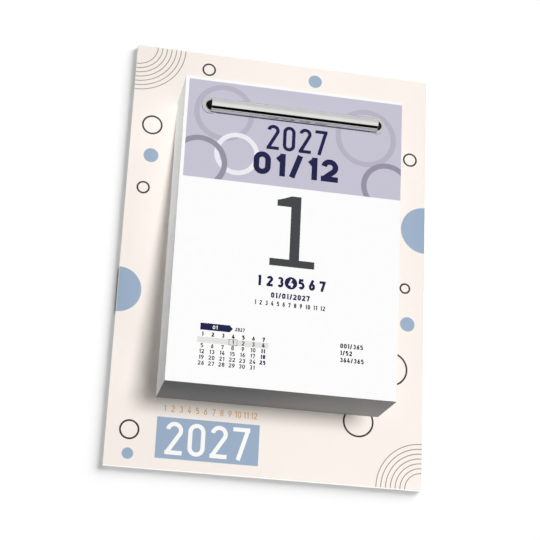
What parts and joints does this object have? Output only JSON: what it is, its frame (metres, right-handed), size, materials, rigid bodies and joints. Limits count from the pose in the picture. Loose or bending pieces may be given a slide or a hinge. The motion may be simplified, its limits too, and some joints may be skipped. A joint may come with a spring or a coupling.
{
  "type": "tear-off day calendar",
  "caption": "Tear-off day calendar: a thick block of day leaves held on a printed backing card by a half-round metal bar, whose leaves lift, fan and tear off.",
  "frame": {"origin": "middle of the card's back, on the surface that the calendar lies on", "axes": "+Z out of the printed face, +Y towards the card's upper edge, +X to the right of the face"},
  "size_m": [0.148, 0.21, 0.0384],
  "materials": {
    "board": "white lined board, matte",
    "card_print": "cream printed paper, satin",
    "leaf_paper": "uncoated white paper, matte",
    "leaf_print": "uncoated white paper with a lilac printed head, matte",
    "bar_metal": "polished nickel plate",
    "strip_steel": "plain strip steel",
    "washer_metal": "satin pressed ring"
  },
  "bodies": {
    "card": {"backing_board": "board", "front_print": "card_print", "binding_bar": "bar_metal", "prong_strip": "strip_steel", "left_washer": "washer_metal", "right_washer": "washer_metal", "january_stub": "leaf_paper", "february_stub": "leaf_paper", "march_stub": "leaf_paper", "april_stub": "leaf_paper", "may_stub": "leaf_paper", "june_stub": "leaf_paper", "july_stub": "leaf_paper", "august_stub": "leaf_paper", "september_stub": "leaf_paper", "october_stub": "leaf_paper", "november_stub": "leaf_paper", "december_stub": "leaf_paper", "day_leaf_stub": "leaf_print"},
    "january": {"january_leaves": "leaf_paper"},
    "february": {"february_leaves": "leaf_paper"},
    "march": {"march_leaves": "leaf_paper"},
    "april": {"april_leaves": "leaf_paper"},
    "may": {"may_leaves": "leaf_paper"},
    "june": {"june_leaves": "leaf_paper"},
    "july": {"july_leaves": "leaf_paper"},
    "august": {"august_leaves": "leaf_paper"},
    "september": {"september_leaves": "leaf_paper"},
    "october": {"october_leaves": "leaf_paper"},
    "november": {"november_leaves": "leaf_paper"},
    "december": {"december_leaves": "leaf_paper"},
    "leaf_margin": {"day_leaf_margin": "leaf_print"},
    "leaf_sheet": {"day_leaf_sheet": "leaf_print"}
  },
  "joints": [
    {"name": "january_lift", "type": "hinge", "parent": "card", "child": "january", "pos_m": [0, 0.0571, 0.03452], "axis": [-1, 0, 0], "range_deg": [0, 40]},
    {"name": "february_lift", "type": "hinge", "parent": "card", "child": "february", "pos_m": [0, 0.0571, 0.03452], "axis": [-1, 0, 0], "range_deg": [0, 36.68]},
    {"name": "march_lift", "type": "hinge", "parent": "card", "child": "march", "pos_m": [0, 0.0571, 0.03452], "axis": [-1, 0, 0], "range_deg": [0, 33.34]},
    {"name": "april_lift", "type": "hinge", "parent": "card", "child": "april", "pos_m": [0, 0.0571, 0.03452], "axis": [-1, 0, 0], "range_deg": [0, 30.01]},
    {"name": "may_lift", "type": "hinge", "parent": "card", "child": "may", "pos_m": [0, 0.0571, 0.03452], "axis": [-1, 0, 0], "range_deg": [0, 26.68]},
    {"name": "june_lift", "type": "hinge", "parent": "card", "child": "june", "pos_m": [0, 0.0571, 0.03452], "axis": [-1, 0, 0], "range_deg": [0, 23.34]},
    {"name": "july_lift", "type": "hinge", "parent": "card", "child": "july", "pos_m": [0, 0.0571, 0.03452], "axis": [-1, 0, 0], "range_deg": [0, 20.01]},
    {"name": "august_lift", "type": "hinge", "parent": "card", "child": "august", "pos_m": [0, 0.0571, 0.03452], "axis": [-1, 0, 0], "range_deg": [0, 16.68]},
    {"name": "september_lift", "type": "hinge", "parent": "card", "child": "september", "pos_m": [0, 0.0571, 0.03452], "axis": [-1, 0, 0], "range_deg": [0, 13.34]},
    {"name": "october_lift", "type": "hinge", "parent": "card", "child": "october", "pos_m": [0, 0.0571, 0.03452], "axis": [-1, 0, 0], "range_deg": [0, 10.01]},
    {"name": "november_lift", "type": "hinge", "parent": "card", "child": "november", "pos_m": [0, 0.0571, 0.03452], "axis": [-1, 0, 0], "range_deg": [0, 6.68]},
    {"name": "december_lift", "type": "hinge", "parent": "card", "child": "december", "pos_m": [0, 0.0571, 0.03452], "axis": [-1, 0, 0], "range_deg": [0, 3.34]},
    {"name": "leaf_tear", "type": "slide", "parent": "january", "child": "leaf_margin", "axis": [0, -1, 0], "range_m": [0, 0.15]},
    {"name": "leaf_lift", "type": "hinge", "parent": "leaf_margin", "child": "leaf_sheet", "pos_m": [0, 0.0531, 0.03452], "axis": [-1, 0, 0], "range_deg": [0, 110]}
  ],
  "couplings": [
    {"joint": "february_lift", "follows": "january_lift", "ratio": 0.91667},
    {"joint": "march_lift", "follows": "january_lift", "ratio": 0.83333},
    {"joint": "april_lift", "follows": "january_lift", "ratio": 0.75},
    {"joint": "may_lift", "follows": "january_lift", "ratio": 0.66667},
    {"joint": "june_lift", "follows": "january_lift", "ratio": 0.58333},
    {"joint": "july_lift", "follows": "january_lift", "ratio": 0.5},
    {"joint": "august_lift", "follows": "january_lift", "ratio": 0.41667},
    {"joint": "september_lift", "follows": "january_lift", "ratio": 0.33333},
    {"joint": "october_lift", "follows": "january_lift", "ratio": 0.25},
    {"joint": "november_lift", "follows": "january_lift", "ratio": 0.16667},
    {"joint": "december_lift", "follows": "january_lift", "ratio": 0.083333}
  ]
}
